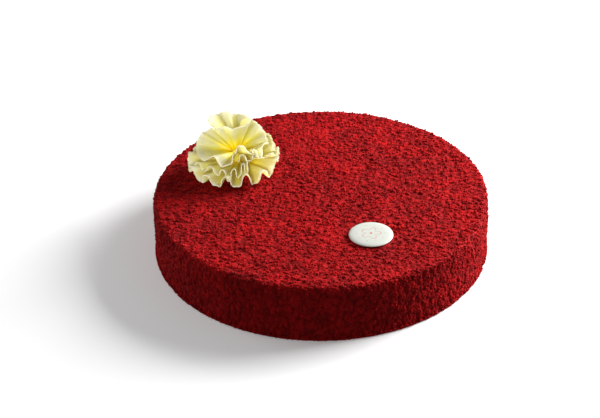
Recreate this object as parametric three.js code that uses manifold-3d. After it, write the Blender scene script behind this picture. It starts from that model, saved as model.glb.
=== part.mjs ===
// A round red velvet cake: a low drum coated all over in coarse red crumb, with a ruffled
// rosette of shaved pale yellow chocolate and a small plain chocolate disc lying on top.
// Millimetres, +Z up. The origin is the middle of the cake's flat base.
import * as THREE from "three";
import { mergeVertices } from "three/addons/utils/BufferGeometryUtils.js";
import Module from "manifold-3d";

const wasm = await Module();
wasm.setup();

// Driving dimensions of the cake
const CAKE_DIAMETER = 250;
const CAKE_HEIGHT = 46;
const RIM_RADIUS = 4;
const FOOT_TUCK = 0.8;
const FOOT_HEIGHT = 0.6;

// The crumb coat: the pitch of its clumps, how proud they stand, and the slow unevenness under them
const CRUMB_PITCH = 5.85;
const CRUMB_RELIEF = 0.55;
const COAT_WAVINESS = 0.35;
const WAVES_ROUND = [3, 7];
const WAVE_LENGTH = 180;
const CRUMB_SEED = 20;

// What lies on the cake is pressed this far into the crumbs, and kept this far from them
const PRESS_DEPTH = 0.6;
const CONTACT_GAP = 0.3;

// The chocolate disc
const DISC_DIAMETER = 32;
const DISC_THICKNESS = 2.2;
const DISC_EDGE = 0.9;
const DISC_CENTRE = new THREE.Vector2(35, -59.5);
const DISC_SEGMENTS = 40;

// The rosette: the middle of its foot on the cake, and the stalk that its leaves grow from, which leans a
// little to the left on its way up. Each point of the stalk's outline is a radius and a height.
const ROSETTE_CENTRE = new THREE.Vector2(-60.5, 29);
const STALK_OUTLINE = [[0, 0], [5.5, 0], [3.2, 7], [3.4, 12], [4, 17], [3.4, 20], [1.6, 21.6], [0, 22]];
const STALK_SEGMENTS = 14;
const STALK_LEAN = -0.108;

// The leaves are thin sheets with this many triangles to a ruffle and from root to rim. Where they would
// dip into the crumbs they lie on them, with this much room below the middle of the sheet.
const LEAF_ROOT = 2.5;
const LEAF_THICKNESS_AT_ROOT = 1.2;
const LEAF_THICKNESS_AT_RIM = 0.8;
const LEAF_COLUMNS_PER_FOLD = 6;
const LEAF_ROWS = 3;
const LEAF_CLEARANCE = 1.9;
const LEAF_LANDING = 1.6;
const FOLD_GROWTH = 0.45;
const FOLD_ROUNDNESS = 0.42;
const FOLD_UNEVENNESS = 0.22;
const UNEVENNESS_RATE = 1.31;
const UNEVENNESS_SHIFT = 1.7;

// Each leaf is one ruffled sheet that fans out round the stalk. Along its rim it passes the stations
// [turn, lean, reach, depth, folds]: the direction in plan in degrees, the rise in degrees, the distance
// from its root to the rim in mm, the depth of the ruffles in degrees, and the ruffles up to the next
// station. Its root is offset from the middle of the foot, and tilt leans the whole fan back.
const LEAVES = [
  // The skirt, the lowest leaf, goes all the way round and droops to the crumbs.
  {
    root: [0, 0, 11.5], tilt: 0, curl: -4,
    stations: [
      [60, 2, 31, 7, 1.6], [98, -3, 33, 9, 1.2], [128, 1, 31, 5, 1.4], [150, 0, 36.5, 7, 1],
      [168, 4, 39, 5, 1], [192, -2, 39, 6, 1], [212, -8, 34.5, 11, 1], [239, -11, 29.5, 12, 1],
      [272, -12, 26, 15, 0.9], [303, -9, 26, 17, 0.9], [330, -3, 28, 8, 0.8], [357, 2, 29, 5, 0.8],
      [376, 7, 31.5, 6, 1.2], [396, 7, 30, 7, 1.2], [420, 2, 31, 7, 0],
    ],
  },
  // The frill lies on the skirt at the front.
  {
    root: [0, 0, 11.5], tilt: 0, curl: 0,
    stations: [
      [191, 2, 36, 3, 0.8], [206, 5, 32.5, 6, 1], [227, 5, 28, 5, 0.8], [244, 3, 26.5, 9, 1],
      [261, 2, 23, 14, 0.7], [276, 9, 21, 11, 1], [291, 12, 19.5, 16, 0.6], [307, 21, 14, 6, 0],
    ],
  },
  // The shelf is over the skirt at the right.
  {
    root: [0, 0, 12], tilt: 0, curl: 3,
    stations: [
      [268, 33, 25, 8, 0.8], [286, 29, 26, 5, 0.6], [303, 30, 26, 4, 0.5], [318, 27, 28, 4, 0.5],
      [330, 22, 30, 3, 0.5], [342, 17, 31, 2, 0.5], [356, 15, 31, 2, 0],
    ],
  },
  // The bud is the short leaf at the front right of the middle.
  {
    root: [-1, 0, 17.5], tilt: 0, curl: 3,
    stations: [
      [262, 33, 24, 6, 0.6], [282, 37, 26, 5, 0.5], [299, 33, 26, 8, 0.7], [311, 19, 26, 6, 0.5],
      [322, 24, 27, 5, 0.5], [340, 28, 28, 3, 0],
    ],
  },
  // The rear leaf rises all along the back and the right.
  {
    root: [-2, 0, 18.5], tilt: 0, curl: -5,
    stations: [
      [-4, 22, 25.5, 2, 0.7], [16, 27, 26, 3, 0.6], [38, 30, 27, 3, 0.6], [58, 32, 29.5, 3, 0.6],
      [80, 34, 32, 3, 0.7], [100, 38, 33.5, 3, 0.7], [122, 42, 34, 3, 0.5], [143, 45, 34, 2, 0.4],
      [160, 49, 32.5, 1, 0.3], [176, 54, 31, 1, 0.3], [196, 59, 29, 1, 0],
    ],
  },
  // The cup stands upright before the rear leaf, then comes round the left and down to a lip in front.
  {
    root: [-2, 0, 18.5], tilt: 90, curl: 2,
    stations: [
      [78, -50, 25, 0, 0.3], [68, -20, 28, 1, 0.3], [70, 6, 30.5, 1, 0.4], [84, 18, 28.5, 2, 0.6],
      [98, 17, 28.5, 2.5, 0.6], [112, 14, 29, 2, 0.6], [125, 11, 29.5, 2.5, 0.6], [137, 1, 30, 3, 0.6],
      [150, -4, 30.5, 3, 0.6], [162, -3, 31.5, 3, 0.5], [170, 8, 31, 2, 0.5], [172, 24, 31, 1, 0.4],
      [172, 37, 30, 1, 0.3], [150, 48, 29, 1, 0.3], [158, 60, 29, 1, 0.3], [162, 70, 29, 2, 0.4],
      [125, 75, 27, 2, 0.5], [100, 62, 24, 2, 0],
    ],
  },
  // The wing stands out at the right, between the skirt and the rear leaf.
  {
    root: [-1, 0, 13.5], tilt: 0, curl: -3,
    stations: [
      [350, 16, 29.5, 4, 0.8], [372, 18, 29.5, 5, 1], [396, 23, 30.5, 4, 0.8], [420, 30, 31.5, 6, 0.9],
      [444, 33, 31.5, 5, 0.9], [468, 27, 32, 4, 0],
    ],
  },
  // The back fills the far side under the rear leaf.
  {
    root: [0, 0, 13], tilt: 0, curl: 2,
    stations: [
      [112, 33, 28, 6, 0.9], [142, 28, 28, 5, 0.8], [168, 22, 28, 4, 0],
    ],
  },
];

const CAKE_RADIUS = CAKE_DIAMETER / 2;
const SEAT_HEIGHT = CAKE_HEIGHT - PRESS_DEPTH;

// A generator of even random numbers from 0 to 1 that gives the same run each time.
function seededRandom(seed) {
  let state = seed >>> 0;
  return () => {
    state = (state + 0x6d2b79f5) >>> 0;
    let t = state;
    t = Math.imul(t ^ (t >>> 15), t | 1);
    t ^= t + Math.imul(t ^ (t >>> 7), t | 61);
    return ((t ^ (t >>> 14)) >>> 0) / 4294967296;
  };
}

// The band of triangles between two rings of points that may differ in number.
function stitch(lower, upper, triangles) {
  let i = 0;
  let j = 0;
  while (i < lower.count || j < upper.count) {
    const a = lower.start + (i % lower.count);
    const b = upper.start + (j % upper.count);
    const nextA = (i + 1 + lower.phase) / lower.count;
    const nextB = (j + 1 + upper.phase) / upper.count;
    if (j >= upper.count || (i < lower.count && nextA < nextB)) {
      triangles.push(a, lower.start + ((i + 1) % lower.count), b);
      i += 1;
    } else {
      triangles.push(a, upper.start + ((j + 1) % upper.count), b);
      j += 1;
    }
  }
}

// The section of the coat from the middle of the top over the rounded rim to the foot: the point at a
// distance along it, with the direction that faces out there.
function sectionAt(distance) {
  const flat = CAKE_RADIUS - RIM_RADIUS;
  const bend = (RIM_RADIUS * Math.PI) / 2;
  if (distance <= flat) return { r: distance, z: CAKE_HEIGHT, outR: 0, outZ: 1 };
  const turn = Math.min(distance - flat, bend) / RIM_RADIUS;
  const outR = Math.sin(turn);
  const outZ = Math.cos(turn);
  const drop = Math.max(distance - flat - bend, 0);
  return {
    r: flat + RIM_RADIUS * outR,
    z: CAKE_HEIGHT - RIM_RADIUS + RIM_RADIUS * outZ - drop,
    outR,
    outZ,
  };
}

// How far the coat stands off a perfect drum here: slow waves round the side and across the top.
function waviness(x, y, z) {
  const turn = Math.atan2(y, x);
  const round = Math.sin(WAVES_ROUND[0] * turn) + Math.sin(WAVES_ROUND[1] * turn + z / RIM_RADIUS / 2);
  const across = Math.sin((2 * Math.PI * x) / WAVE_LENGTH) * Math.cos((2 * Math.PI * y) / WAVE_LENGTH);
  return (COAT_WAVINESS * ((round * Math.hypot(x, y)) / CAKE_RADIUS + across)) / 2;
}

// The cake is one solid. Its coat is rings of points a clump apart, each moved in or out at random, and
// level where the disc and the rosette are pressed in. The base is flat.
function cakeGeometry() {
  const random = seededRandom(CRUMB_SEED);
  const flat = CAKE_RADIUS - RIM_RADIUS;
  const bend = (RIM_RADIUS * Math.PI) / 2;
  const edges = [0, flat, flat + bend, flat + bend + CAKE_HEIGHT - RIM_RADIUS - FOOT_HEIGHT];
  const points = [0, 0, CAKE_HEIGHT];
  const triangles = [];
  const seats = [
    { centre: DISC_CENTRE, radius: DISC_DIAMETER / 2 + CRUMB_PITCH },
    { centre: ROSETTE_CENTRE, radius: STALK_OUTLINE[1][0] + CRUMB_PITCH },
  ];

  function coatPoint(distance, turn) {
    const at = sectionAt(distance);
    const x = at.r * Math.cos(turn);
    const y = at.r * Math.sin(turn);
    const pressed = seats.some((seat) => Math.hypot(x - seat.centre.x, y - seat.centre.y) < seat.radius);
    const bump = (2 * random() - 1) * CRUMB_RELIEF + waviness(x, y, at.z);
    const proud = pressed && at.outZ === 1 ? -PRESS_DEPTH : bump;
    const r = at.r + proud * at.outR;
    points.push(r * Math.cos(turn), r * Math.sin(turn), at.z + proud * at.outZ);
  }

  // A ring of points at an equal pitch, begun at a random turn.
  function ring(radius, pitch, place) {
    const count = Math.max(5, Math.round((2 * Math.PI * radius) / pitch));
    const made = { start: points.length / 3, count, phase: random() };
    for (let i = 0; i < count; i += 1) place((2 * Math.PI * (i + made.phase)) / count);
    return made;
  }

  // Rings over the top, the rim and the side in turn, with one at each edge between them.
  let last = null;
  for (let part = 0; part + 1 < edges.length; part += 1) {
    const steps = Math.ceil((edges[part + 1] - edges[part]) / CRUMB_PITCH);
    for (let step = 1; step <= steps; step += 1) {
      const distance = THREE.MathUtils.lerp(edges[part], edges[part + 1], step / steps);
      const next = ring(sectionAt(distance).r, CRUMB_PITCH, (turn) => coatPoint(distance, turn));
      if (last) {
        stitch(next, last, triangles);
      } else {
        for (let i = 0; i < next.count; i += 1) {
          triangles.push(0, next.start + i, next.start + ((i + 1) % next.count));
        }
      }
      last = next;
    }
  }

  // The foot turns in under the coat, and ever coarser rings close the base.
  const basePoint = (radius) => (turn) => {
    const r = radius + waviness(radius * Math.cos(turn), radius * Math.sin(turn), 0);
    points.push(r * Math.cos(turn), r * Math.sin(turn), 0);
  };
  let radius = CAKE_RADIUS - FOOT_TUCK;
  let pitch = CRUMB_PITCH;
  while (radius > pitch) {
    const next = ring(radius, pitch, basePoint(radius));
    stitch(next, last, triangles);
    last = next;
    pitch *= 2;
    radius -= pitch;
  }
  const middle = points.length / 3;
  points.push(0, 0, 0);
  for (let i = 0; i < last.count; i += 1) {
    triangles.push(middle, last.start + ((i + 1) % last.count), last.start + i);
  }

  const geometry = new THREE.BufferGeometry();
  geometry.setAttribute("position", new THREE.Float32BufferAttribute(points, 3));
  geometry.setIndex(triangles);
  // The crumbs leave the outline a little off the axis, so it is centred again.
  geometry.computeBoundingBox();
  const centre = geometry.boundingBox.getCenter(new THREE.Vector3());
  return geometry.translate(-centre.x, -centre.y, 0);
}

// A flat disc with a full round edge above and below, standing on z = 0.
function discGeometry() {
  const radius = DISC_DIAMETER / 2;
  const profile = new THREE.Path();
  profile.moveTo(0, 0);
  profile.lineTo(radius - DISC_EDGE, 0);
  profile.absarc(radius - DISC_EDGE, DISC_EDGE, DISC_EDGE, -Math.PI / 2, 0, false);
  profile.lineTo(radius, DISC_THICKNESS - DISC_EDGE);
  profile.absarc(radius - DISC_EDGE, DISC_THICKNESS - DISC_EDGE, DISC_EDGE, 0, Math.PI / 2, false);
  profile.lineTo(0, DISC_THICKNESS);
  return new THREE.LatheGeometry(profile.getPoints(2), DISC_SEGMENTS).rotateX(Math.PI / 2);
}

// A value of the stations at a distance along the rim, eased through each station.
function eased(stations, column, along) {
  const last = stations.length - 1;
  const i = Math.min(Math.floor(along), last - 1);
  const t = along - i;
  const [a, b, c, d] = [i - 1, i, i + 1, i + 2].map(
    (k) => stations[Math.min(Math.max(k, 0), last)][column],
  );
  const bend = 2 * a - 5 * b + 4 * c - d;
  return 0.5 * (2 * b + (c - a) * t + bend * t * t + (3 * b - a - 3 * c + d) * t ** 3);
}

// The ruffles passed from the first station to a distance along the rim.
function foldsTo(stations, along) {
  const i = Math.min(Math.floor(along), stations.length - 2);
  const before = stations.slice(0, i).reduce((sum, station) => sum + station[4], 0);
  return before + stations[i][4] * (along - i);
}

// The middle of a leaf's thickness: along runs over its stations, and out from its root, 0, to its rim, 1.
// A station with whole ruffles on both sides is the lowest point of one.
function leafPoint(leaf, along, out) {
  const { stations } = leaf;
  const end = stations.length - 1;
  const wave = 2 * Math.PI * foldsTo(stations, along);
  const foldWidth = (stations[end][0] - stations[0][0]) / foldsTo(stations, end);
  const growth = out ** FOLD_GROWTH;
  const shift = UNEVENNESS_SHIFT * LEAVES.indexOf(leaf);
  const uneven = 1 + FOLD_UNEVENNESS * Math.sin(UNEVENNESS_RATE * wave + shift);
  const ruffle = -Math.cos(wave) * growth * uneven;
  const rounding = (-FOLD_ROUNDNESS * foldWidth * Math.sin(2 * wave) * growth) / (2 * Math.PI);
  const turn = THREE.MathUtils.degToRad(eased(stations, 0, along) - rounding);
  const curl = leaf.curl * (out ** 2 - 0.5);
  const lean = THREE.MathUtils.degToRad(
    eased(stations, 1, along) + eased(stations, 3, along) * ruffle + curl,
  );
  const reach = THREE.MathUtils.lerp(LEAF_ROOT, eased(stations, 2, along), out);
  const point = new THREE.Vector3(
    Math.cos(lean) * Math.cos(turn),
    Math.cos(lean) * Math.sin(turn),
    Math.sin(lean),
  )
    .multiplyScalar(reach)
    .applyAxisAngle(new THREE.Vector3(1, 0, 0), THREE.MathUtils.degToRad(leaf.tilt))
    .add(new THREE.Vector3(...leaf.root));
  // A ruffle that would dip into the crumbs lies along them instead.
  const above = point.z - LEAF_CLEARANCE;
  point.z = LEAF_CLEARANCE + (above + Math.hypot(above, LEAF_LANDING)) / 2;
  return point;
}

// A closed leaf: its two faces are split into triangles alike, and a strip closes them all round.
function leafGeometry(leaf) {
  const end = leaf.stations.length - 1;
  const columns = [];
  for (let station = 0; station < end; station += 1) {
    const steps = Math.max(3, Math.round(LEAF_COLUMNS_PER_FOLD * leaf.stations[station][4]));
    for (let step = 0; step < steps; step += 1) columns.push(station + step / steps);
  }
  columns.push(end);
  const rows = LEAF_ROWS + 1;
  const faces = [[], []];
  const step = 1e-3;
  for (const along of columns) {
    for (let row = 0; row < rows; row += 1) {
      const out = row / LEAF_ROWS;
      const point = leafPoint(leaf, along, out);
      const before = leafPoint(leaf, Math.max(along - step, 0), out);
      const after = leafPoint(leaf, Math.min(along + step, end), out);
      const inner = leafPoint(leaf, along, Math.max(out - step, 0));
      const outer = leafPoint(leaf, along, Math.min(out + step, 1));
      const normal = after.sub(before).cross(outer.sub(inner)).normalize();
      const half = THREE.MathUtils.lerp(LEAF_THICKNESS_AT_ROOT, LEAF_THICKNESS_AT_RIM, out) / 2;
      faces[0].push(...point.clone().addScaledVector(normal, half));
      faces[1].push(...point.clone().addScaledVector(normal, -half));
    }
  }
  const count = columns.length * rows;
  const triangles = [];
  for (let i = 0; i + 1 < columns.length; i += 1) {
    for (let j = 0; j < LEAF_ROWS; j += 1) {
      const a = i * rows + j;
      const b = a + rows;
      triangles.push(a, b, b + 1, a, b + 1, a + 1);
      triangles.push(count + a, count + b + 1, count + b, count + a, count + a + 1, count + b + 1);
    }
  }
  const border = [];
  for (let i = 0; i + 1 < columns.length; i += 1) border.push(i * rows);
  for (let j = 0; j < LEAF_ROWS; j += 1) border.push((columns.length - 1) * rows + j);
  for (let i = columns.length - 1; i > 0; i -= 1) border.push(i * rows + LEAF_ROWS);
  for (let j = LEAF_ROWS; j > 0; j -= 1) border.push(j);
  border.forEach((a, k) => {
    const b = border[(k + 1) % border.length];
    triangles.push(b, a, count + a, b, count + a, count + b);
  });
  const geometry = new THREE.BufferGeometry();
  geometry.setAttribute("position", new THREE.Float32BufferAttribute(faces.flat(), 3));
  geometry.setIndex(triangles);
  return geometry;
}

// The stalk that the leaves grow from, standing on z = 0.
function stalkGeometry() {
  const outline = STALK_OUTLINE.map(([radius, height]) => new THREE.Vector2(radius, height));
  return new THREE.LatheGeometry(outline, STALK_SEGMENTS)
    .rotateX(Math.PI / 2)
    .applyMatrix4(new THREE.Matrix4().makeShear(0, 0, 0, 0, STALK_LEAN, 0));
}

// A closed geometry as a solid that can be joined to others.
function solidOf(geometry) {
  const bare = geometry.clone();
  bare.deleteAttribute("normal");
  bare.deleteAttribute("uv");
  const merged = mergeVertices(bare, 1e-4);
  return new wasm.Manifold(
    new wasm.Mesh({
      numProp: 3,
      vertProperties: merged.attributes.position.array,
      triVerts: new Uint32Array(merged.index.array),
    }),
  );
}

// The rosette is one piece of chocolate: the leaves are joined to the stalk. Where leaves cross they shut
// in small hollows, and keeping only the outer shell of the join fills those.
function rosetteGeometry() {
  let joined = solidOf(stalkGeometry());
  for (const leaf of LEAVES) joined = joined.add(solidOf(leafGeometry(leaf)));
  const outer = joined.decompose().reduce((a, b) => (b.volume() > a.volume() ? b : a));
  const mesh = outer.getMesh();
  const geometry = new THREE.BufferGeometry();
  geometry.setAttribute("position", new THREE.Float32BufferAttribute(mesh.vertProperties, 3));
  geometry.setIndex(new THREE.BufferAttribute(mesh.triVerts, 1));
  return geometry;
}

function named(name, geometry, settings) {
  geometry.computeVertexNormals();
  const mesh = new THREE.Mesh(geometry, new THREE.MeshStandardMaterial(settings));
  mesh.name = name;
  return mesh;
}

const cake = named("cake", cakeGeometry(), { color: 0x8a1619, roughness: 0.95, metalness: 0 });

const disc = named("disc", discGeometry(), { color: 0xe8e2d6, roughness: 0.45, metalness: 0 });
disc.position.set(DISC_CENTRE.x, DISC_CENTRE.y, SEAT_HEIGHT + CONTACT_GAP);

const rosette = named("rosette", rosetteGeometry(), { color: 0xece3a8, roughness: 0.4, metalness: 0 });
rosette.position.set(ROSETTE_CENTRE.x, ROSETTE_CENTRE.y, SEAT_HEIGHT + CONTACT_GAP);

const redVelvetCake = new THREE.Group();
redVelvetCake.add(cake, disc, rosette);

export default redVelvetCake;
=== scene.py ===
"""A red velvet cake: a low drum coated in crumbs, a rosette of shaved chocolate and a chocolate disc.

Metres, +Z up, with the origin in the middle of the cake's flat base.
"""
import math

import bpy
import numpy as np
from mathutils import Matrix, Vector


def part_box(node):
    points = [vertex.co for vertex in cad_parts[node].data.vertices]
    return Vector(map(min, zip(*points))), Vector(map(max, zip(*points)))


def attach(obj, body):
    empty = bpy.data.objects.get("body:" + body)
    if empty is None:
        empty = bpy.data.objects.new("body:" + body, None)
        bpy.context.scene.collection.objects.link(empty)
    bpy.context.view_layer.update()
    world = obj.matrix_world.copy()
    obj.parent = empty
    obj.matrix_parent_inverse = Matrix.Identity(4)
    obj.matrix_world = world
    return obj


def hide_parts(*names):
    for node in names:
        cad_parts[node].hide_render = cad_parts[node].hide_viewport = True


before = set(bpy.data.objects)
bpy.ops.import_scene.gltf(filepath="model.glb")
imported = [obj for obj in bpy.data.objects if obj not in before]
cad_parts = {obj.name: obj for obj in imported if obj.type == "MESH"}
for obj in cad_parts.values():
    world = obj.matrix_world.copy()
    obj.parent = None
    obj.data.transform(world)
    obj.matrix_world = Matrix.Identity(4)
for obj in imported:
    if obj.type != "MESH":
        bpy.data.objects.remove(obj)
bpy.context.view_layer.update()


# ---- The crust
# A drum of sponge and cream. Dried sponge is rubbed through a coarse sieve and pressed on all over while
# the cream is soft, so its surface is lumps packed side by side. They are drawn out along X on the top
# and upwards on the side, with creases between them.
MM = 0.001
CAKE_RADIUS = 125 * MM
CAKE_HEIGHT = 46 * MM
RIM_RADIUS = 4 * MM
FOOT_TUCK = 1.2 * MM
FOOT_HEIGHT = 0.6 * MM
TOP_DEPTH = 1.8 * MM
SIDE_DEPTH = 2.1 * MM
TOP_LUMPS = (3.5 * MM, 1.8 * MM, 2.4 * MM)
SIDE_LUMPS = (2.1 * MM, 2.1 * MM, 3.8 * MM)
LUMP_HEIGHT = 1.5 * MM
RIM_OVERLAP = 1.6
SMALLEST_LUMP = 0.6
LUMP_SPREAD = 0.3
WAVINESS = 0.35 * MM
WAVES_AROUND = (3, 7)
WAVE_SLANT = 8 * MM
WAVE_LENGTH = 180 * MM
CRUST_COLUMNS = 1080
CRUST_ROW = 0.76 * MM
FOOT_RING = (CAKE_RADIUS - FOOT_TUCK, CRUST_COLUMNS)
BASE_RINGS = (FOOT_RING, (118 * MM, 540), (100 * MM, 135), (60 * MM, 34), (0, 1))

flat_radius = CAKE_RADIUS - RIM_RADIUS
rim_length = RIM_RADIUS * math.pi / 2
coat_length = flat_radius + rim_length + CAKE_HEIGHT - RIM_RADIUS - FOOT_HEIGHT

disc_low, disc_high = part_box("disc")
disc_centre = (disc_low + disc_high) / 2
disc_radius = (disc_high.x - disc_low.x) / 2

# The disc and the flower's stalk are pressed in, so the crust is flat under each.
STALK_CENTRE = Vector((-60.5 * MM, 29 * MM, disc_low.z))
STALK_FOOT = 5.5 * MM
SEATS = ((disc_centre, disc_radius), (STALK_CENTRE, STALK_FOOT))
SEAT_MARGIN = 0.5 * MM
SEAT_GAP = 0.4 * MM


def waviness(places):
    """How far the coat stands off a perfect drum: slow waves round the side and across the top."""
    x, y, z = places.T
    turn = np.arctan2(y, x)
    around = np.sin(WAVES_AROUND[0] * turn) + np.sin(WAVES_AROUND[1] * turn + z / WAVE_SLANT)
    across = np.sin(2 * math.pi * x / WAVE_LENGTH) * np.cos(2 * math.pi * y / WAVE_LENGTH)
    return WAVINESS * (around * np.hypot(x, y) / CAKE_RADIUS + across) / 2


def on_coat(distance, turn):
    """Places on the smooth drum at distances from the middle of its top, over the rim and down the side."""
    bend = np.clip(distance - flat_radius, 0, rim_length) / RIM_RADIUS
    drop = np.clip(distance - flat_radius - rim_length, 0, None)
    out = np.stack([np.sin(bend) * np.cos(turn), np.sin(bend) * np.sin(turn), np.cos(bend)], axis=1)
    flat = np.minimum(distance, flat_radius)
    places = RIM_RADIUS * out
    places[:, 0] += flat * np.cos(turn)
    places[:, 1] += flat * np.sin(turn)
    places[:, 2] += CAKE_HEIGHT - RIM_RADIUS - drop
    return places, out


SCRAMBLE_WAY = np.array([12.9898, 78.233, 37.719])
SCRAMBLE_RATE = 43758.5453
MIDDLE_SHIFTS = (0.0, 1.7, 3.1)
OWN_SHIFT = 5.3


def scrambled(cells, shift):
    """A number from 0 to 1 for each cell that looks random and is the same each time."""
    return np.modf(np.abs(np.sin(cells @ SCRAMBLE_WAY + shift) * SCRAMBLE_RATE))[0]


def packed_lumps(places, size):
    """How high lumps of a size stand at each place, and the tone from 0 to 1 that each has to itself."""
    scaled = (places - (0, 0, CAKE_HEIGHT)) / size
    home = np.floor(scaled)
    height = np.zeros(len(places))
    tone = np.zeros(len(places))
    for step in np.ndindex(3, 3, 3):
        cells = home + np.array(step) - 1
        middle = cells + np.stack([scrambled(cells, shift) for shift in MIDDLE_SHIFTS], axis=1)
        own = scrambled(cells, OWN_SHIFT)
        radius = SMALLEST_LUMP + LUMP_SPREAD * own
        lump = np.sqrt(np.clip(radius**2 - ((scaled - middle) ** 2).sum(axis=1), 0, None))
        tone = np.where(lump > height, own, tone)
        height = np.maximum(lump, height)
    return height * LUMP_HEIGHT, tone


def crust_at(distance, turn):
    """Places on the crust, the way out there, and the height and tone of the lump there."""
    places, out = on_coat(distance, turn)
    level = out[:, 2]
    top_height, top_tone = packed_lumps(places, TOP_LUMPS)
    side_height, side_tone = packed_lumps(places, SIDE_LUMPS)
    on_top = np.minimum(1, RIM_OVERLAP * level)
    on_side = np.minimum(1, RIM_OVERLAP * (1 - level))
    height = np.maximum(top_height * on_top, side_height * on_side)
    tone = np.where(level > 0.5, top_tone, side_tone)
    rise = waviness(places) + height - SIDE_DEPTH - (TOP_DEPTH - SIDE_DEPTH) * level
    crust = places + out * rise[:, None]
    for centre, radius in SEATS:
        near = np.hypot(crust[:, 0] - centre.x, crust[:, 1] - centre.y) < radius + SEAT_MARGIN
        crust[near & (level == 1), 2] = disc_low.z - SEAT_GAP
    return crust, out, height, tone


class Wire:
    """The output of a shader node. Plus, minus and times on it add Math nodes."""

    def __init__(self, tree, socket=None):
        self.tree = tree
        self.socket = socket

    def node(self, kind, settings, sockets, output=0):
        """Adds a node, makes its settings, then fills its sockets with values or wires."""
        made = self.tree.nodes.new(kind)
        for name, value in settings.items():
            if name == "stops":
                ramp = made.color_ramp.elements
                while len(ramp) < len(value):
                    ramp.new(1)
                for stop, (place, colour) in zip(ramp, value):
                    stop.position = place
                    stop.color = (*colour, 1)
            else:
                setattr(made, name, value)
        for name, value in sockets.items():
            if isinstance(value, Wire):
                self.tree.links.new(value.socket, made.inputs[name])
            else:
                made.inputs[name].default_value = value
        return Wire(self.tree, made.outputs[output] if len(made.outputs) else None)

    def maths(self, operation, *values):
        return self.node("ShaderNodeMath", {"operation": operation}, dict(enumerate(values)))

    def of(self, operation, *others):
        """This wire put through a Math node, such as a sine."""
        return self.maths(operation, self, *others)

    def __add__(self, other):
        return self.maths("ADD", self, other)

    def __radd__(self, other):
        return self.maths("ADD", other, self)

    def __sub__(self, other):
        return self.maths("SUBTRACT", self, other)

    def __rsub__(self, other):
        return self.maths("SUBTRACT", other, self)

    def __mul__(self, other):
        return self.maths("MULTIPLY", self, other)

    def __rmul__(self, other):
        return self.maths("MULTIPLY", other, self)

    def within(self, low, high):
        """0 below low, 1 above high, and smooth between."""
        settings = {"interpolation_type": "SMOOTHSTEP"}
        return self.node("ShaderNodeMapRange", settings, {"Value": self, "From Min": low, "From Max": high})

    def mixed(self, first, second):
        """A colour between two: the first where this wire is 0 and the second where it is 1."""
        settings = {"data_type": "RGBA"}
        sockets = {0: self, 6: first, 7: second}
        return self.node("ShaderNodeMix", settings, sockets, 2)

    def noise(self, size, detail=2.0):
        """An even noise in the object's own space, whose blotches are about a size across."""
        where = self.node("ShaderNodeTexCoord", {}, {}, "Object")
        sockets = {"Vector": where, "Scale": 0.5 / size, "Detail": detail}
        return self.node("ShaderNodeTexNoise", {}, sockets)

    def attribute(self, name):
        return self.node("ShaderNodeAttribute", {"attribute_name": name}, {}, "Fac")


def new_material(name):
    """A material with no nodes, and a wire to make its nodes from."""
    material = bpy.data.materials.new(name)
    material.use_nodes = True
    material.node_tree.nodes.clear()
    return material, Wire(material.node_tree)


CRUMB_DEEP = (0.17, 0.0022, 0.0035, 1)
CRUMB_BRIGHT = (0.58, 0.0065, 0.0080, 1)
TONE_SHARE = 0.5
GRAIN_SHARE = 0.5
GRAIN_SIZE = 0.45 * MM
GRAIN_HEIGHT = 0.25 * MM
BLOTCH_SHARE = 0.5
BLOTCH_SIZE = 14 * MM
DARKENING = 0.27

red_crumb, start = new_material("red_crumb")
grain = start.noise(GRAIN_SIZE)
blotch = start.noise(BLOTCH_SIZE)
# On the crust the tone carries painted shade in the creases; on the crumbs it is their own random tone.
brightness = start.attribute("tone") * TONE_SHARE + grain * GRAIN_SHARE + blotch * BLOTCH_SHARE - DARKENING
bump = start.node("ShaderNodeBump", {}, {"Strength": 0.5, "Distance": GRAIN_HEIGHT, "Height": grain})
surface = start.node("ShaderNodeBsdfPrincipled", {}, {
    "Base Color": brightness.within(0, 1).mixed(CRUMB_DEEP, CRUMB_BRIGHT),
    "Roughness": 0.8,
    "Specular IOR Level": 0.10,
    "Normal": bump,
})
start.node("ShaderNodeOutputMaterial", {}, {"Surface": surface})


def mesh_piece(name, points, faces, corners, material):
    """A smooth piece from its points, its faces, and the place of each face corner in the unit square."""
    mesh = bpy.data.meshes.new(name)
    mesh.from_pydata(points.tolist(), [], faces.tolist())
    mesh.shade_smooth()
    net = mesh.uv_layers.new(name="OFBake")
    net.data.foreach_set("uv", corners.astype(np.float32).ravel())
    mesh.materials.append(material)
    piece = bpy.data.objects.new(name, mesh)
    bpy.context.scene.collection.objects.link(piece)
    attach(piece, "root")
    return piece


def keep_value(piece, name, values):
    """Keeps a number for each point of a piece, which its material reads by name."""
    layer = piece.data.attributes.new(name, "FLOAT", "POINT")
    layer.data.foreach_set("value", values.astype(np.float32).ravel())


def band(upper, lower):
    """The triangles between two rings of points. A ring is its first point and its number of points."""
    (a, many_a), (b, many_b) = upper, lower
    faces = []
    i = j = 0
    while j < many_b or (i < many_a and many_a > 1):
        corner, below = a + i % many_a, b + j % many_b
        if j == many_b or (i < many_a and (i + 1) * many_b < (j + 1) * many_a):
            i += 1
            faces.append((corner, below, a + i % many_a))
        else:
            j += 1
            if many_b > 1:
                faces.append((corner, below, b + j % many_b))
    return faces


rows_on_top = round(flat_radius / CRUST_ROW)
rows_on_side = round((coat_length - flat_radius) / CRUST_ROW)
top_rings = []
for row in range(rows_on_top + 1):
    distance = flat_radius * row / rows_on_top
    top_rings.append((distance, max(1, round(CRUST_COLUMNS * row / rows_on_top))))
side_rings = [
    (flat_radius + (coat_length - flat_radius) * row / rows_on_side, CRUST_COLUMNS)
    for row in range(rows_on_side + 1)
]


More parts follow.
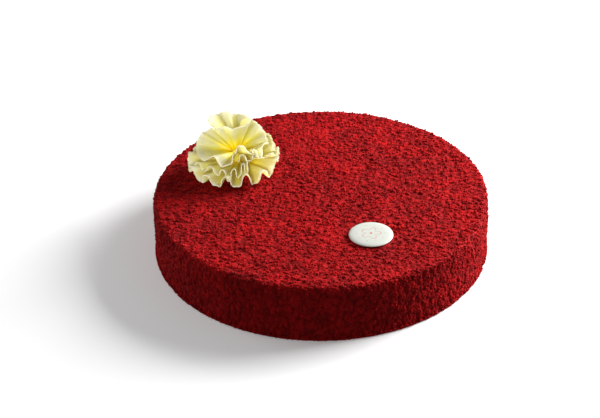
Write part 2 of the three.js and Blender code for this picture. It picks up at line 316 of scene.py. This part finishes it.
def crust_points(rings):
    """The points of rings on the crust, with their tones painted darker in the creases, turns from 0 to 1
    and distances.
    """
    distance = np.concatenate([np.full(count, d) for d, count in rings])
    turn = np.concatenate([np.arange(count) / count for _, count in rings])
    crust, _, height, tone = crust_at(distance, 2 * math.pi * turn)
    # Painted shade: the tone falls with the lump's height, so the creases are darker.
    return crust, tone * height / height.max(), turn, distance


def ring_faces(counts):
    """The triangles between rings of these numbers of points, each ring inside the next."""
    firsts = np.cumsum([0, *counts])
    rings = list(zip(firsts, counts))
    return np.array([face for pair in zip(rings, rings[1:]) for face in band(*pair)])


points, tone, _, _ = crust_points(top_rings)
faces = ring_faces([count for _, count in top_rings])
corners = points[faces][:, :, :2] / (2 * CAKE_RADIUS) + 0.5
crust_top = mesh_piece("crust_top", points, faces, corners, red_crumb)
keep_value(crust_top, "tone", tone)

points, tone, turn, distance = crust_points(side_rings)
base = []
for radius, count in BASE_RINGS:
    around = 2 * math.pi * np.arange(count) / count
    base.append(np.stack([radius * np.cos(around), radius * np.sin(around), np.zeros(count)], axis=1))
    turn = np.append(turn, np.arange(count) / count)
    distance = np.append(distance, np.full(count, coat_length + CAKE_RADIUS - radius))
points = np.vstack([points, *base])
# The base and the tuck under the foot take the darkest tone: painted shade under the cake.
tone = np.append(tone, np.zeros(len(points) - len(tone)))
faces = ring_faces([CRUST_COLUMNS] * len(side_rings) + [len(ring) for ring in base])

# The side's net is cut at turn 0. A triangle across the cut goes on past the end, and the scale makes room.
NET_SCALE = 0.999
across = turn[faces]
wraps = np.ptp(across, axis=1) > 0.5
across[wraps] += across[wraps] < 0.5
down = (distance[faces] - flat_radius) / (coat_length - flat_radius + CAKE_RADIUS)
corners = np.stack([across, down], axis=-1) * NET_SCALE
crust_side = mesh_piece("crust_side", points, faces, corners, red_crumb)
keep_value(crust_side, "tone", tone)

for piece in (crust_top, crust_side):
    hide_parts("cake")


# ---- The loose crumbs
# Crumbs of the same sponge that stand proud of the crust: uneven rounded bits, each stuck to a lump and
# clear of the creases. The large ones lie more on the top and the fine ones more on the side, and some
# have dropped round the foot.

# No crumb reaches past this radius and this height, and none lies where a lump is lower than a crease.
CRUMB_REACH = (125.42 * MM, 46.85 * MM)
CREASE_HEIGHT = 0.45 * MM
GOLDEN_ANGLE = math.pi * (3 - math.sqrt(5))
CRUMB_SCATTER = 1.1 * MM
NEAREST_CRUMB = 1 * MM
FOOT_SHARE = 0.1
FOOT_HEAP = 2 * MM
FOOT_SPREAD = 0.4
CRUMB_PROUDNESS = (-0.1, 0.2)
CRUMB_LENGTHS = (1.0, 0.82, 0.64)
LENGTH_VARIETY = (0.85, 1.15)
CRUMB_UNEVENNESS = 0.17
SMALL_ONES = 1.5
OWN_TONE = 0.4
CRUMB_TONES = (0.15, 0.9)
NET_GAP = 0.05
CRUMB_KINDS = (
    # name, number, smallest and largest length, weight of the side against the top, cuts of its faces
    ("crumb_lumps", 1900, 2.3 * MM, 3.2 * MM, 0.7, 1),
    ("crumbs_coarse", 10000, 1.7 * MM, 2.4 * MM, 0.8, 0),
    ("crumbs_medium", 9500, 1.3 * MM, 1.8 * MM, 1.3, 0),
    ("crumbs_fine", 3600, 0.9 * MM, 1.3 * MM, 1.6, 0),
)
NET_SIZE = (5.5, 3)
SAME_POINT_DECIMALS = 6


def ball(cuts):
    """A ball of 20 triangles, cut in four some times: its points, its faces, and their paper net."""
    tilt = math.atan(0.5)

    def belt(k, side):
        turn = math.pi * (2 * k + (side < 0)) / 5
        return (math.cos(tilt) * math.cos(turn), math.cos(tilt) * math.sin(turn), side * math.sin(tilt))

    triangles = []
    for k in range(5):
        above, below = (0, 0, 1, k + 0.5, 3), (0, 0, -1, k + 1, 0)
        a, b = (*belt(k, 1), k, 2), (*belt(k + 1, 1), k + 1, 2)
        c, d = (*belt(k, -1), k + 0.5, 1), (*belt(k + 1, -1), k + 1.5, 1)
        triangles += [(a, b, above), (a, c, b), (b, c, d), (c, below, d)]
    corners = np.array(triangles)
    for _ in range(cuts):
        a, b, c = corners[:, 0], corners[:, 1], corners[:, 2]
        ab, bc, ca = (a + b) / 2, (b + c) / 2, (c + a) / 2
        parts = ((a, ab, ca), (ab, b, bc), (ca, bc, c), (ab, bc, ca))
        corners = np.concatenate([np.stack(part, axis=1) for part in parts])
        corners[:, :, :3] /= np.linalg.norm(corners[:, :, :3], axis=2, keepdims=True)
    rounded = np.round(corners[:, :, :3].reshape(-1, 3), SAME_POINT_DECIMALS)
    points, faces = np.unique(rounded, axis=0, return_inverse=True)
    return points, faces.reshape(-1, 3), corners[:, :, 3:] / NET_SIZE


def random_turns(dice, count):
    """Rotation matrices that turn each crumb its own way."""
    q = dice.normal(size=(count, 4))
    w, x, y, z = (q / np.linalg.norm(q, axis=1, keepdims=True)).T
    rows = (
        (1 - 2 * (y * y + z * z), 2 * (x * y - w * z), 2 * (x * z + w * y)),
        (2 * (x * y + w * z), 1 - 2 * (x * x + z * z), 2 * (y * z - w * x)),
        (2 * (x * z - w * y), 2 * (y * z + w * x), 1 - 2 * (x * x + y * y)),
    )
    return np.moveaxis(np.array(rows), 2, 0)


def scattered(dice, count, side_weight):
    """Even places on the coat, each the golden angle on from the last, then shaken out of line."""
    top_area = math.pi * flat_radius**2
    side_area = side_weight * 2 * math.pi * CAKE_RADIUS * (coat_length - flat_radius)
    area = (top_area + side_area) * (np.arange(count) + 0.5) / count
    on_top = np.sqrt(np.minimum(area, top_area) / math.pi)
    down = np.clip(area - top_area, 0, None) / (side_weight * 2 * math.pi * CAKE_RADIUS)
    distance = on_top + down + dice.normal(size=count) * CRUMB_SCATTER
    distance = np.clip(distance, NEAREST_CRUMB, coat_length)
    radius = np.minimum(distance, CAKE_RADIUS)
    turn = GOLDEN_ANGLE * np.arange(count) + dice.normal(size=count) * CRUMB_SCATTER / radius
    fallen = dice.random(count) < FOOT_SHARE
    distance[fallen] = coat_length - FOOT_HEAP * dice.random(fallen.sum())
    return distance, turn


for seed, (name, count, smallest, largest, side_weight, cuts) in enumerate(CRUMB_KINDS):
    dice = np.random.default_rng(seed)
    distance, turn = scattered(dice, count, side_weight)
    length = smallest + (largest - smallest) * dice.random(count) ** SMALL_ONES
    middles, out, height, tone = crust_at(distance, turn)
    spread = FOOT_SPREAD * (distance > coat_length - FOOT_HEAP)
    middles += out * (length * (dice.uniform(*CRUMB_PROUDNESS, count) + spread))[:, None]
    half = length / 2
    reach = np.hypot(middles[:, 0], middles[:, 1])
    middles[:, :2] *= (np.minimum(reach, CRUMB_REACH[0] - half) / reach)[:, None]
    middles[:, 2] = np.clip(middles[:, 2], half, CRUMB_REACH[1] - half)
    free = height > CREASE_HEIGHT
    for centre, radius in SEATS:
        free &= np.hypot(middles[:, 0] - centre.x, middles[:, 1] - centre.y) > radius + half
    middles, length, tone, count = middles[free], length[free], tone[free], int(free.sum())

    ball_points, ball_faces, ball_net = ball(cuts)
    uneven = 1 + CRUMB_UNEVENNESS * dice.uniform(-1, 1, (count, len(ball_points), 1))
    sides = np.array(CRUMB_LENGTHS) * dice.uniform(*LENGTH_VARIETY, (count, 3))
    sides /= sides.max(axis=1, keepdims=True) * (1 + CRUMB_UNEVENNESS)
    bits = ball_points * uneven * (sides * length[:, None] / 2)[:, None, :]
    bits = bits @ random_turns(dice, count) + middles[:, None, :]
    faces = (ball_faces + len(ball_points) * np.arange(count)[:, None, None]).reshape(-1, 3)
    grid = math.ceil(math.sqrt(count))
    cell = np.stack([np.arange(count) % grid, np.arange(count) // grid], axis=1)
    corners = (cell[:, None, None, :] + NET_GAP + (1 - 2 * NET_GAP) * ball_net) / grid
    piece = mesh_piece(name, bits.reshape(-1, 3), faces, corners, red_crumb)
    tone = OWN_TONE * dice.random(count) + (1 - OWN_TONE) * tone
    tone = CRUMB_TONES[0] + (CRUMB_TONES[1] - CRUMB_TONES[0]) * tone
    keep_value(piece, "tone", np.repeat(tone, len(ball_points)))
    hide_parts("cake")


# ---- The rosette
# A block of pale yellow chocolate is shaved with a turning blade, and the thin sheets are gathered into a
# flower as they curl. Its leaves all grow from one stalk, which is pressed into the crumbs, and their thin
# rims are frayed and paler.
LEAF_ROOT = 2.5 * MM
LEAF_THICKNESS = (1.2 * MM, 0.7 * MM)
LEAF_CLEARANCE = 1.9 * MM
LEAF_LANDING = 1.6 * MM
LEAF_COLUMNS_PER_FOLD = 44
LEAF_ROWS = 20
FOLD_GROWTH = 0.45
FOLD_ROUNDNESS = 0.42
FOLD_UNEVENNESS = 0.22
UNEVENNESS_RATE = 1.31
UNEVENNESS_SHIFT = 1.7
FEWEST_COLUMNS = 6
FRAY_DEPTH = 0.8 * MM
FRAY_RATE = 7.3
FRAY_DRIFT = 2
FRAY_DRIFT_RATE = 2.9
FRAY_CLOSENESS = 12

# Each leaf is a root offset from the middle of the rosette's foot in mm, the tilt of the whole fan, the
# curl of the leaf, and the stations that its rim passes: the direction in plan in degrees, the rise in
# degrees, the distance from its root in mm, the depth of the ruffles in degrees, and their number up to
# the next station.
LEAVES = {
    "leaf_skirt": ((0, 0, 11.5), 0, -4, (
        (60, 2, 31, 7, 1.6), (98, -3, 33, 9, 1.2), (128, 1, 31, 5, 1.4), (150, 0, 36.5, 7, 1),
        (168, 4, 39, 5, 1), (192, -2, 39, 6, 1), (212, -8, 34.5, 11, 1), (239, -11, 29.5, 12, 1),
        (272, -12, 26, 15, 0.9), (303, -9, 26, 17, 0.9), (330, -3, 28, 8, 0.8), (357, 2, 29, 5, 0.8),
        (376, 7, 31.5, 6, 1.2), (396, 7, 30, 7, 1.2), (420, 2, 31, 7, 0))),
    "leaf_frill": ((0, 0, 11.5), 0, 0, (
        (191, 2, 36, 3, 0.8), (206, 5, 32.5, 6, 1), (227, 5, 28, 5, 0.8), (244, 3, 26.5, 9, 1),
        (261, 2, 23, 14, 0.7), (276, 9, 21, 11, 1), (291, 12, 19.5, 16, 0.6), (307, 21, 14, 6, 0))),
    "leaf_shelf": ((0, 0, 12), 0, 3, (
        (268, 33, 25, 8, 0.8), (286, 29, 26, 5, 0.6), (303, 30, 26, 4, 0.5), (318, 27, 28, 4, 0.5),
        (330, 22, 30, 3, 0.5), (342, 17, 31, 2, 0.5), (356, 15, 31, 2, 0))),
    "leaf_bud": ((-1, 0, 17.5), 0, 3, (
        (262, 33, 24, 6, 0.6), (282, 37, 26, 5, 0.5), (299, 33, 26, 8, 0.7), (311, 19, 26, 6, 0.5),
        (322, 24, 27, 5, 0.5), (340, 28, 28, 3, 0))),
    "leaf_rear": ((-2, 0, 18.5), 0, -5, (
        (-4, 22, 25.5, 2, 0.7), (16, 27, 26, 3, 0.6), (38, 30, 27, 3, 0.6), (58, 32, 29.5, 3, 0.6),
        (80, 34, 32, 3, 0.7), (100, 38, 33.5, 3, 0.7), (122, 42, 34, 3, 0.5), (143, 45, 34, 2, 0.4),
        (160, 49, 32.5, 1, 0.3), (176, 54, 31, 1, 0.3), (196, 59, 29, 1, 0))),
    "leaf_cup": ((-2, 0, 18.5), 90, 2, (
        (78, -50, 25, 0, 0.3), (68, -20, 28, 1, 0.3), (70, 6, 30.5, 1, 0.4), (84, 18, 28.5, 2, 0.6),
        (98, 17, 28.5, 2.5, 0.6), (112, 14, 29, 2, 0.6), (125, 11, 29.5, 2.5, 0.6),
        (137, 1, 30, 3, 0.6), (150, -4, 30.5, 3, 0.6), (162, -3, 31.5, 3, 0.5), (170, 8, 31, 2, 0.5),
        (172, 24, 31, 1, 0.4), (172, 37, 30, 1, 0.3), (150, 48, 29, 1, 0.3), (158, 60, 29, 1, 0.3),
        (162, 70, 29, 2, 0.4), (125, 75, 27, 2, 0.5), (100, 62, 24, 2, 0))),
    "leaf_wing": ((-1, 0, 13.5), 0, -3, (
        (350, 16, 29.5, 4, 0.8), (372, 18, 29.5, 5, 1), (396, 23, 30.5, 4, 0.8),
        (420, 30, 31.5, 6, 0.9), (444, 33, 31.5, 5, 0.9), (468, 27, 32, 4, 0))),
    "leaf_back": ((0, 0, 13), 0, 2, (
        (112, 33, 28, 6, 0.9), (142, 28, 28, 5, 0.8), (168, 22, 28, 4, 0))),
}

# A leaf is a deeper yellow towards its root, and in its valleys as painted shade. The leaves whose root is
# lower than
# LOW_ROOT, in mm, are deeper all over, as painted golden shade under the leaves above them.
VALLEY_SHADE = 0.3
LOW_ROOT = 15
LOW_LEAF_SHADE = 0.34
LEAF_COLOURS = (
    (0.07, (0.66, 0.44, 0.001)), (0.18, (0.72, 0.57, 0.010)), (0.36, (0.74, 0.67, 0.11)),
    (0.60, (0.72, 0.70, 0.34)), (0.88, (0.72, 0.73, 0.56)),
)
RIM_COLOUR = (0.93, 0.94, 0.87, 1)
RIM_BLEND = (0.84, 1.08)
RIM_WANDER = 0.45
STREAK_SIZE = 3 * MM
STREAK_SHARE = 0.18

# A leaf lets light through, more so where it thins towards the rim.
HEART_GLOW = 0.05
RIM_GLOW = 0.62
THINNING = (0.15, 0.7)
GLOW_COLOUR = (0.82, 0.785, 0.46, 1)

yellow_chocolate, start = new_material("yellow_chocolate")
out = start.attribute("out")
streak = start.noise(STREAK_SIZE, 3.0)
paleness = start.attribute("pale") + (streak - 0.5) * STREAK_SHARE
leaf_colour = start.node("ShaderNodeValToRGB", {"stops": LEAF_COLOURS}, {"Fac": paleness})
at_rim = (out + (streak - 0.5) * RIM_WANDER).within(*RIM_BLEND)
chocolate = start.node("ShaderNodeBsdfPrincipled", {}, {
    "Base Color": at_rim.mixed(leaf_colour, RIM_COLOUR),
    "Roughness": 0.42,
    "Specular IOR Level": 0.3,
})
glow = start.node("ShaderNodeBsdfTranslucent", {}, {"Color": GLOW_COLOUR})
thinness = out.within(*THINNING) * (RIM_GLOW - HEART_GLOW) + HEART_GLOW
surface = start.node("ShaderNodeMixShader", {}, {0: thinness, 1: chocolate, 2: glow})
start.node("ShaderNodeOutputMaterial", {}, {"Surface": surface})


def eased(stations, column, along):
    """A value of the stations at distances along the rim, eased through each station."""
    values = np.array([station[column] for station in stations], float)
    last = len(values) - 1
    i = np.minimum(np.floor(along).astype(int), last - 1)
    t = along - i
    a, b, c, d = (values[np.clip(i + k, 0, last)] for k in (-1, 0, 1, 2))
    return 0.5 * (2 * b + (c - a) * t + (2 * a - 5 * b + 4 * c - d) * t**2 + (3 * b - a - 3 * c + d) * t**3)


def leaf_surface(order, root, tilt, curl, stations, along, out):
    """The middle of a leaf's thickness, and how pale it is, with painted shade in its valleys and on low
    leaves. out runs from its root, 0, to its rim, 1.
    """
    folds = np.array([station[4] for station in stations])
    passed = np.interp(along, np.arange(len(stations)), np.cumsum([0, *folds[:-1]]))
    wave = 2 * math.pi * passed
    fold_width = (stations[-1][0] - stations[0][0]) / folds.sum()
    growth = out**FOLD_GROWTH
    uneven = 1 + FOLD_UNEVENNESS * np.sin(UNEVENNESS_RATE * wave + UNEVENNESS_SHIFT * order)
    ruffle = -np.cos(wave) * growth * uneven
    rounding = FOLD_ROUNDNESS * fold_width * np.sin(2 * wave) * growth / (2 * math.pi)
    turn = np.radians(eased(stations, 0, along) + rounding)
    bend = eased(stations, 3, along) * ruffle + curl * (out**2 - 0.5)
    lean = np.radians(eased(stations, 1, along) + bend)
    nick = np.abs(np.sin(FRAY_RATE * wave + FRAY_DRIFT * np.sin(FRAY_DRIFT_RATE * wave)))
    fray = FRAY_DEPTH * nick * out**FRAY_CLOSENESS
    reach = LEAF_ROOT + (eased(stations, 2, along) * MM - LEAF_ROOT) * out - fray
    ways = np.stack([np.cos(lean) * np.cos(turn), np.cos(lean) * np.sin(turn), np.sin(lean)], axis=-1)
    tilted = np.array(Matrix.Rotation(math.radians(tilt), 3, "X"))
    points = reach[..., None] * ways @ tilted.T + np.array(root) * MM
    above = points[..., 2] - LEAF_CLEARANCE
    points[..., 2] = LEAF_CLEARANCE + (above + np.hypot(above, LEAF_LANDING)) / 2
    # Painted shade: the valleys of the ruffles are a deeper yellow.
    valley = 1 - np.abs(np.sin(wave / 2))
    pale = out - VALLEY_SHADE * growth * valley
    # Painted shade: a leaf with a low root is a deeper yellow all over.
    if root[2] < LOW_ROOT:
        pale = pale * (1 - LOW_LEAF_SHADE)
    return points, pale


# Each leaf's net has its front face below, its back face above that, and the strip of its edge on top.
FACE_NET = 0.47
BACK_NET = 0.48
STRIP_NET = (0.97, 0.99)


def leaf_piece(order, name, root, tilt, curl, stations):
    """A closed leaf: two faces a thickness apart, with a strip between them all round."""
    columns = []
    for k, station in enumerate(stations[:-1]):
        steps = max(FEWEST_COLUMNS, round(LEAF_COLUMNS_PER_FOLD * station[4]))
        columns.append(k + np.arange(steps) / steps)
    columns = np.concatenate([*columns, [len(stations) - 1]])
    along, out = np.meshgrid(columns, np.linspace(0, 1, LEAF_ROWS + 1), indexing="ij")
    middle, pale = leaf_surface(order, root, tilt, curl, stations, along, out)
    across = np.cross(np.gradient(middle, axis=0), np.gradient(middle, axis=1))
    across /= np.linalg.norm(across, axis=-1, keepdims=True)
    half = (LEAF_THICKNESS[0] + (LEAF_THICKNESS[1] - LEAF_THICKNESS[0]) * out)[..., None] / 2
    points = np.vstack([(middle + across * half).reshape(-1, 3), (middle - across * half).reshape(-1, 3)])
    points += np.array(STALK_CENTRE)

    count, rows = out.shape
    index = np.arange(count * rows).reshape(count, rows)
    quads = np.stack([index[:-1, :-1], index[1:, :-1], index[1:, 1:], index[:-1, 1:]], axis=-1)
    quads = quads.reshape(-1, 4)
    border = np.concatenate([index[:-1, 0], index[-1, :-1], index[:0:-1, -1], index[0, :0:-1]])
    onward = np.roll(border, -1)
    back = count * rows
    strip = np.stack([onward, border, border + back, onward + back], axis=-1)
    faces = np.vstack([quads, quads[:, ::-1] + back, strip])

    front_net = np.stack([along.ravel() / along.max(), out.ravel() * FACE_NET], axis=-1)
    walked = np.arange(len(border)) / len(border)
    ends = np.stack([walked + 1 / len(border), walked, walked, walked + 1 / len(border)], axis=-1)
    sides = np.broadcast_to(np.repeat(STRIP_NET, 2), ends.shape)
    back_net = front_net[quads[:, ::-1]] + (0, BACK_NET)
    corners = np.vstack([front_net[quads], back_net, np.stack([ends, sides], axis=-1)])
    piece = mesh_piece(name, points, faces, corners, yellow_chocolate)
    keep_value(piece, "out", np.append(out, out))
    keep_value(piece, "pale", np.append(pale, pale))
    return piece


rosette = [leaf_piece(order, name, *leaf) for order, (name, leaf) in enumerate(LEAVES.items())]

# The stalk's outline, as radii and heights in mm.
STALK_OUTLINE = ((5.5, 0), (4.2, 2.5), (3.2, 7), (3.4, 12), (4.0, 17), (3.4, 20), (1.6, 21.6), (0.2, 22))
STALK_SIDES = 48
STALK_LEAN = -0.108
STALK_DEPTH = 0.3
STALK_NET = 14 * MM


def lathed(outline, sides):
    """Points and faces of an outline of radii and heights turned round Z and closed at both ends."""
    turn = 2 * math.pi * np.arange(sides) / sides
    points = [(r * math.cos(a), r * math.sin(a), z) for r, z in outline for a in turn]
    low, high = len(points), len(points) + 1
    points += [(0, 0, outline[0][1]), (0, 0, outline[-1][1])]
    faces = []
    for row in range(len(outline) - 1):
        for i in range(sides):
            a, b = row * sides + i, row * sides + (i + 1) % sides
            faces += [(a, b, b + sides), (a, b + sides, a + sides)]
    last = (len(outline) - 1) * sides
    faces += [(low, (i + 1) % sides, i) for i in range(sides)]
    faces += [(high, last + i, last + (i + 1) % sides) for i in range(sides)]
    return np.array(points), np.array(faces)


points, faces = lathed([(r * MM, z * MM) for r, z in STALK_OUTLINE], STALK_SIDES)
points[:, 0] += STALK_LEAN * points[:, 2]
points += np.array(STALK_CENTRE)
corners = (points[faces][:, :, :2] - np.array(STALK_CENTRE)[:2]) / STALK_NET + 0.5
stalk = mesh_piece("rosette_stalk", points, faces, corners, yellow_chocolate)
keep_value(stalk, "out", np.full(len(points), STALK_DEPTH))
keep_value(stalk, "pale", np.full(len(points), STALK_DEPTH))
rosette.append(stalk)
for piece in rosette:
    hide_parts("rosette")


# ---- The disc
# White chocolate cast in a round mould, with a full soft edge, and a line drawing printed on its face in
# red cocoa butter. It is pressed lightly into the crumbs.
DISC_BELOW = 0.9 * MM
DISC_SIDES = 128
FOOT_STEPS = 12
FOOT_SQUARENESS = 9
CROWN_STEPS = 24
CROWN_SQUARENESS = 5
DISC_NET = 2.1

disc_thickness = disc_high.z - disc_low.z
above_disc = disc_thickness - DISC_BELOW
outline = []
for step in range(1, FOOT_STEPS + 1):
    angle = math.pi / 2 * step / FOOT_STEPS
    radius = disc_radius * math.sin(angle) ** (2 / FOOT_SQUARENESS)
    outline.append((radius, DISC_BELOW * (1 - math.cos(angle))))
for step in range(1, CROWN_STEPS):
    angle = math.pi / 2 * step / CROWN_STEPS
    radius = disc_radius * math.cos(angle) ** (2 / CROWN_SQUARENESS)
    outline.append((radius, DISC_BELOW + above_disc * math.sin(angle)))

# The print is an open blossom of five petals with a dot for its heart, inside a ring of small dots.
IVORY = ((0.590, 0.615, 0.555, 1), (0.620, 0.645, 0.585, 1))
PRINT_COLOUR = (0.62, 0.055, 0.075, 1)
PETALS = 5
PETAL_REACH = 7.2 * MM
PETAL_DEPTH = 3.6 * MM
LINE_WIDTH = 0.4 * MM
HEART_RADIUS = 1.3 * MM
DOTS = 10
DOT_RING = 10.2 * MM
DOT_RADIUS = 0.5 * MM
LINE_INK = 0.65
DOT_INK = 0.7
HEART_INK = 0.9
FACE_EDGE = 0.2 * MM
MOTTLE_SIZE = 5 * MM

ivory_chocolate, start = new_material("ivory_chocolate")
mottle = start.noise(MOTTLE_SIZE)
where = start.node("ShaderNodeTexCoord", {}, {}, "Object")
x = start.node("ShaderNodeSeparateXYZ", {}, {"Vector": where}, "X") - disc_centre.x
y = start.node("ShaderNodeSeparateXYZ", {}, {"Vector": where}, "Y") - disc_centre.y
z = start.node("ShaderNodeSeparateXYZ", {}, {"Vector": where}, "Z") - disc_low.z
radius = (x * x + y * y).of("SQRT")
angle = y.of("ARCTAN2", x)
petals = (angle * (PETALS / 2)).of("COSINE").of("ABSOLUTE")
off_line = (radius - PETAL_REACH + (1 - petals) * PETAL_DEPTH).of("ABSOLUTE")
off_ring = radius - DOT_RING
off_dot = (angle * (DOTS / 2)).of("SINE").of("ARCSINE") * (2 * DOT_RING / DOTS)
line = 1 - off_line.within(LINE_WIDTH / 2, LINE_WIDTH)
dots = 1 - (off_ring * off_ring + off_dot * off_dot).of("SQRT").within(DOT_RADIUS / 2, DOT_RADIUS)
heart = 1 - radius.within(HEART_RADIUS / 2, HEART_RADIUS)
on_face = z.within(DISC_BELOW, disc_thickness - FACE_EDGE)
ink = (line * LINE_INK + dots * DOT_INK + heart * HEART_INK) * on_face
surface = start.node("ShaderNodeBsdfPrincipled", {}, {
    "Base Color": ink.mixed(mottle.mixed(*IVORY), PRINT_COLOUR),
    "Roughness": 0.35,
    "Subsurface Weight": 0.25,
    "Subsurface Radius": (0.9, 0.8, 0.6),
    "Subsurface Scale": 2 * MM,
})
start.node("ShaderNodeOutputMaterial", {}, {"Surface": surface})

points, faces = lathed(outline, DISC_SIDES)
points += (disc_centre.x, disc_centre.y, disc_low.z)
corners = (points[faces][:, :, :2] - np.array(disc_centre)[:2]) / (DISC_NET * disc_radius) + 0.5
disc = mesh_piece("chocolate_disc", points, faces, corners, ivory_chocolate)
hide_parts("disc")


# ---- The studio
# A white table in a pale room, with a large lamp at the right and a little behind, and a weak one at the
# left and a little behind.
CAMERA_LENS = 120
SENSOR_WIDTH = 36
CAMERA_RISE = math.radians(32.601)
CAMERA_ROLL = math.radians(-0.837)
CAMERA_DISTANCE = 1.5101
IMAGE_SIZE = (600, 418)
ORIGIN_PIXEL = (321.26, 243.48)

forward = Vector((0, math.cos(CAMERA_RISE), -math.sin(CAMERA_RISE)))
upright = Vector((0, math.sin(CAMERA_RISE), math.cos(CAMERA_RISE)))
level = Vector((1, 0, 0))
right = math.cos(CAMERA_ROLL) * level + math.sin(CAMERA_ROLL) * upright
up = math.cos(CAMERA_ROLL) * upright - math.sin(CAMERA_ROLL) * level
pixel = CAMERA_DISTANCE / (CAMERA_LENS * IMAGE_SIZE[0] / SENSOR_WIDTH)
sideways = (ORIGIN_PIXEL[0] - IMAGE_SIZE[0] / 2) * pixel
upwards = (IMAGE_SIZE[1] / 2 - ORIGIN_PIXEL[1]) * pixel
place = -(sideways * right + upwards * up + CAMERA_DISTANCE * forward)
camera = bpy.data.objects.new("camera", bpy.data.cameras.new("camera"))
camera.data.lens = CAMERA_LENS
camera.data.sensor_width = SENSOR_WIDTH
camera.matrix_world = Matrix.Translation(place) @ Matrix((right, up, -forward)).transposed().to_4x4()
bpy.context.scene.collection.objects.link(camera)
bpy.context.scene.camera = camera


def lamp(name, place, size, power):
    """A square soft lamp that faces the cake."""
    light = bpy.data.lights.new(name, "AREA")
    light.size = size
    light.energy = power
    made = bpy.data.objects.new(name, light)
    made.location = place
    made.rotation_euler = (-Vector(place)).to_track_quat("-Z", "Y").to_euler()
    bpy.context.scene.collection.objects.link(made)
    return made


lamp("key_lamp", place=(0.952, 0.465, 0.563), size=0.8, power=41.5)
lamp("far_lamp", place=(-1.03, 0.375, 0.488), size=0.7, power=4)

# The lamp in front lights the flower alone.
flower = bpy.data.collections.new("flower")
for piece in rosette:
    flower.objects.link(piece)
front_lamp = lamp("front_lamp", place=(-0.25, -1.05, 0.45), size=0.6, power=20)
front_lamp.light_linking.receiver_collection = flower

white_table, start = new_material("white_table")
surface = start.node("ShaderNodeBsdfPrincipled", {}, {
    "Base Color": (0.88, 0.88, 0.88, 1),
    "Roughness": 0.9,
    "Emission Color": (1, 1, 1, 1),
    "Emission Strength": 0.21,
})
start.node("ShaderNodeOutputMaterial", {}, {"Surface": surface})

TABLE_SIZE = 8
bpy.ops.mesh.primitive_plane_add(size=TABLE_SIZE)
table = bpy.context.object
table.name = "table"
table.data.materials.append(white_table)

# The table throws no light back on the cake.
table.visible_diffuse = False

world = bpy.data.worlds.new("room")
world.use_nodes = True
world.node_tree.nodes["Background"].inputs["Color"].default_value = (1, 1, 1, 1)
world.node_tree.nodes["Background"].inputs["Strength"].default_value = 0.186
bpy.context.scene.world = world
bpy.context.scene.view_settings.view_transform = "Standard"
